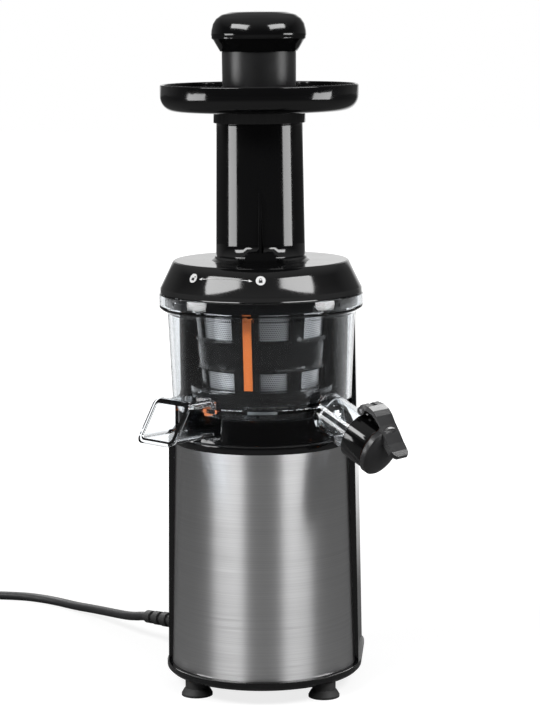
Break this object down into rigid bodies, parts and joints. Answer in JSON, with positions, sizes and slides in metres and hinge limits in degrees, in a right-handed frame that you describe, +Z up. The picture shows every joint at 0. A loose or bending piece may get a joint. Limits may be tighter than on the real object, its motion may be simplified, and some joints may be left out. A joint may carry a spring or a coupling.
{
  "type": "cold press juicer",
  "caption": "Upright slow juicer: steel motor base, clear bowl with capped juice spout and pulp spout, strainer and auger inside, twist lid with tall chute, feed tray and pusher.",
  "frame": {"origin": "on the bowl's and auger's vertical axis, at the level of the table the feet stand on", "axes": "+Z up along the bowl's axis, -Y towards the front, +X to the right seen from the front"},
  "size_m": [0.4625, 0.4226, 0.4903],
  "materials": {
    "black_gloss": "gloss",
    "black_satin": "satin",
    "rubber_black": "matte",
    "steel_brushed": "brushed",
    "steel_perforated": "satin",
    "steel_bright": "polished",
    "clear_plastic": "clear",
    "orange_silicone": "satin",
    "pom_white": "satin",
    "gear_nylon": "satin",
    "zinc_cast": "satin",
    "laminations": "satin",
    "copper": "satin",
    "bronze": "satin",
    "carbon": "matte",
    "board_green": "satin",
    "cord_sheath": "matte"
  },
  "bodies": {
    "base": {"foot_front_left": "rubber_black", "foot_front_right": "rubber_black", "foot_rear_left": "rubber_black", "foot_rear_right": "rubber_black", "base_tray": "black_gloss", "base_screws": "steel_bright", "body_core": "black_satin", "steel_sleeve": "steel_brushed", "rear_housing": "black_gloss", "top_deck": "black_gloss", "shaft_seal": "orange_silicone", "motor_dampers": "rubber_black", "motor_bell_lower": "zinc_cast", "motor_stator": "laminations", "motor_windings": "copper", "motor_bell_upper": "zinc_cast", "motor_bearings": "steel_bright", "carbon_brushes": "carbon", "gearbox_case": "zinc_cast", "gearbox_cover": "zinc_cast", "gearbox_screws": "steel_bright", "intermediate_pin": "steel_bright", "shaft_bush": "bronze", "control_board": "board_green", "switch_bezel": "black_gloss", "strain_relief": "rubber_black", "power_cord": "cord_sheath", "cord_coil": "cord_sheath", "mains_plug": "cord_sheath"},
    "rotor": {"motor_shaft": "steel_bright", "rotor_core": "laminations", "commutator": "copper", "cooling_fan": "pom_white", "motor_pinion": "gear_nylon"},
    "intermediate": {"intermediate_gear": "gear_nylon"},
    "output": {"output_gear": "gear_nylon", "drive_shaft": "steel_bright"},
    "rocker": {"power_rocker": "black_satin"},
    "bowl": {"juice_bowl": "clear_plastic", "pulp_plug": "orange_silicone", "spout_collar": "black_gloss", "cap_hinge_pin": "steel_bright", "strainer_frame": "black_satin", "strainer_mesh": "steel_perforated"},
    "cap": {"drip_cap": "black_satin", "cap_seal": "orange_silicone"},
    "wiper": {"wiper_frame": "black_satin", "wiper_blades": "orange_silicone"},
    "planet": {"wiper_pinion": "pom_white"},
    "auger": {"auger_screw": "black_satin", "auger_hub": "pom_white", "auger_pin": "steel_bright"},
    "lid_body": {"lid": "black_gloss", "lid_seal": "rubber_black"},
    "tray": {"feed_tray": "black_gloss"},
    "pusher": {"pusher_stem": "black_satin", "pusher_knob": "black_satin"}
  },
  "joints": [
    {"name": "output_spin", "type": "hinge", "parent": "base", "child": "output", "pos_m": [0, 0, 0.165], "axis": [0, 0, 1], "continuous": true},
    {"name": "intermediate_spin", "type": "hinge", "parent": "base", "child": "intermediate", "pos_m": [0, 0.03, 0.16], "axis": [0, 0, 1], "continuous": true},
    {"name": "rotor_spin", "type": "hinge", "parent": "base", "child": "rotor", "pos_m": [0.01697, 0.01303, 0.1], "axis": [0, 0, 1], "continuous": true},
    {"name": "switch_rock", "type": "hinge", "parent": "base", "child": "rocker", "pos_m": [0, 0.079, 0.1303], "axis": [1, 0, 0], "range_deg": [-10, 10]},
    {"name": "bowl_lift", "type": "slide", "parent": "base", "child": "bowl", "axis": [0, 0, 1], "range_m": [0, 0.06]},
    {"name": "auger_spin", "type": "hinge", "parent": "bowl", "child": "auger", "pos_m": [0, 0, 0.25], "axis": [0, 0, 1], "continuous": true},
    {"name": "planet_spin", "type": "hinge", "parent": "bowl", "child": "planet", "pos_m": [0.01575, 0.02728, 0.216], "axis": [0, 0, 1], "continuous": true},
    {"name": "wiper_spin", "type": "hinge", "parent": "bowl", "child": "wiper", "pos_m": [0, 0, 0.25], "axis": [0, 0, 1], "continuous": true},
    {"name": "cap_hinge", "type": "hinge", "parent": "bowl", "child": "cap", "pos_m": [0.07936, -0.05661, 0.21332], "axis": [-0.5807, -0.8141, 0], "range_deg": [0, 100]},
    {"name": "lid_turn", "type": "hinge", "parent": "bowl", "child": "lid_body", "pos_m": [0, 0, 0.2896], "axis": [0, 0, 1], "range_deg": [0, 47]},
    {"name": "tray_lift", "type": "slide", "parent": "lid_body", "child": "tray", "axis": [0, 0, 1], "range_m": [0, 0.04]},
    {"name": "pusher_slide", "type": "slide", "parent": "tray", "child": "pusher", "axis": [0, 0, 1], "range_m": [0, 0.12]}
  ],
  "couplings": [
    {"joint": "intermediate_spin", "follows": "output_spin", "ratio": -4},
    {"joint": "rotor_spin", "follows": "output_spin", "ratio": 16},
    {"joint": "auger_spin", "follows": "output_spin", "ratio": 1},
    {"joint": "planet_spin", "follows": "output_spin", "ratio": -1.3333},
    {"joint": "wiper_spin", "follows": "output_spin", "ratio": -0.4}
  ]
}
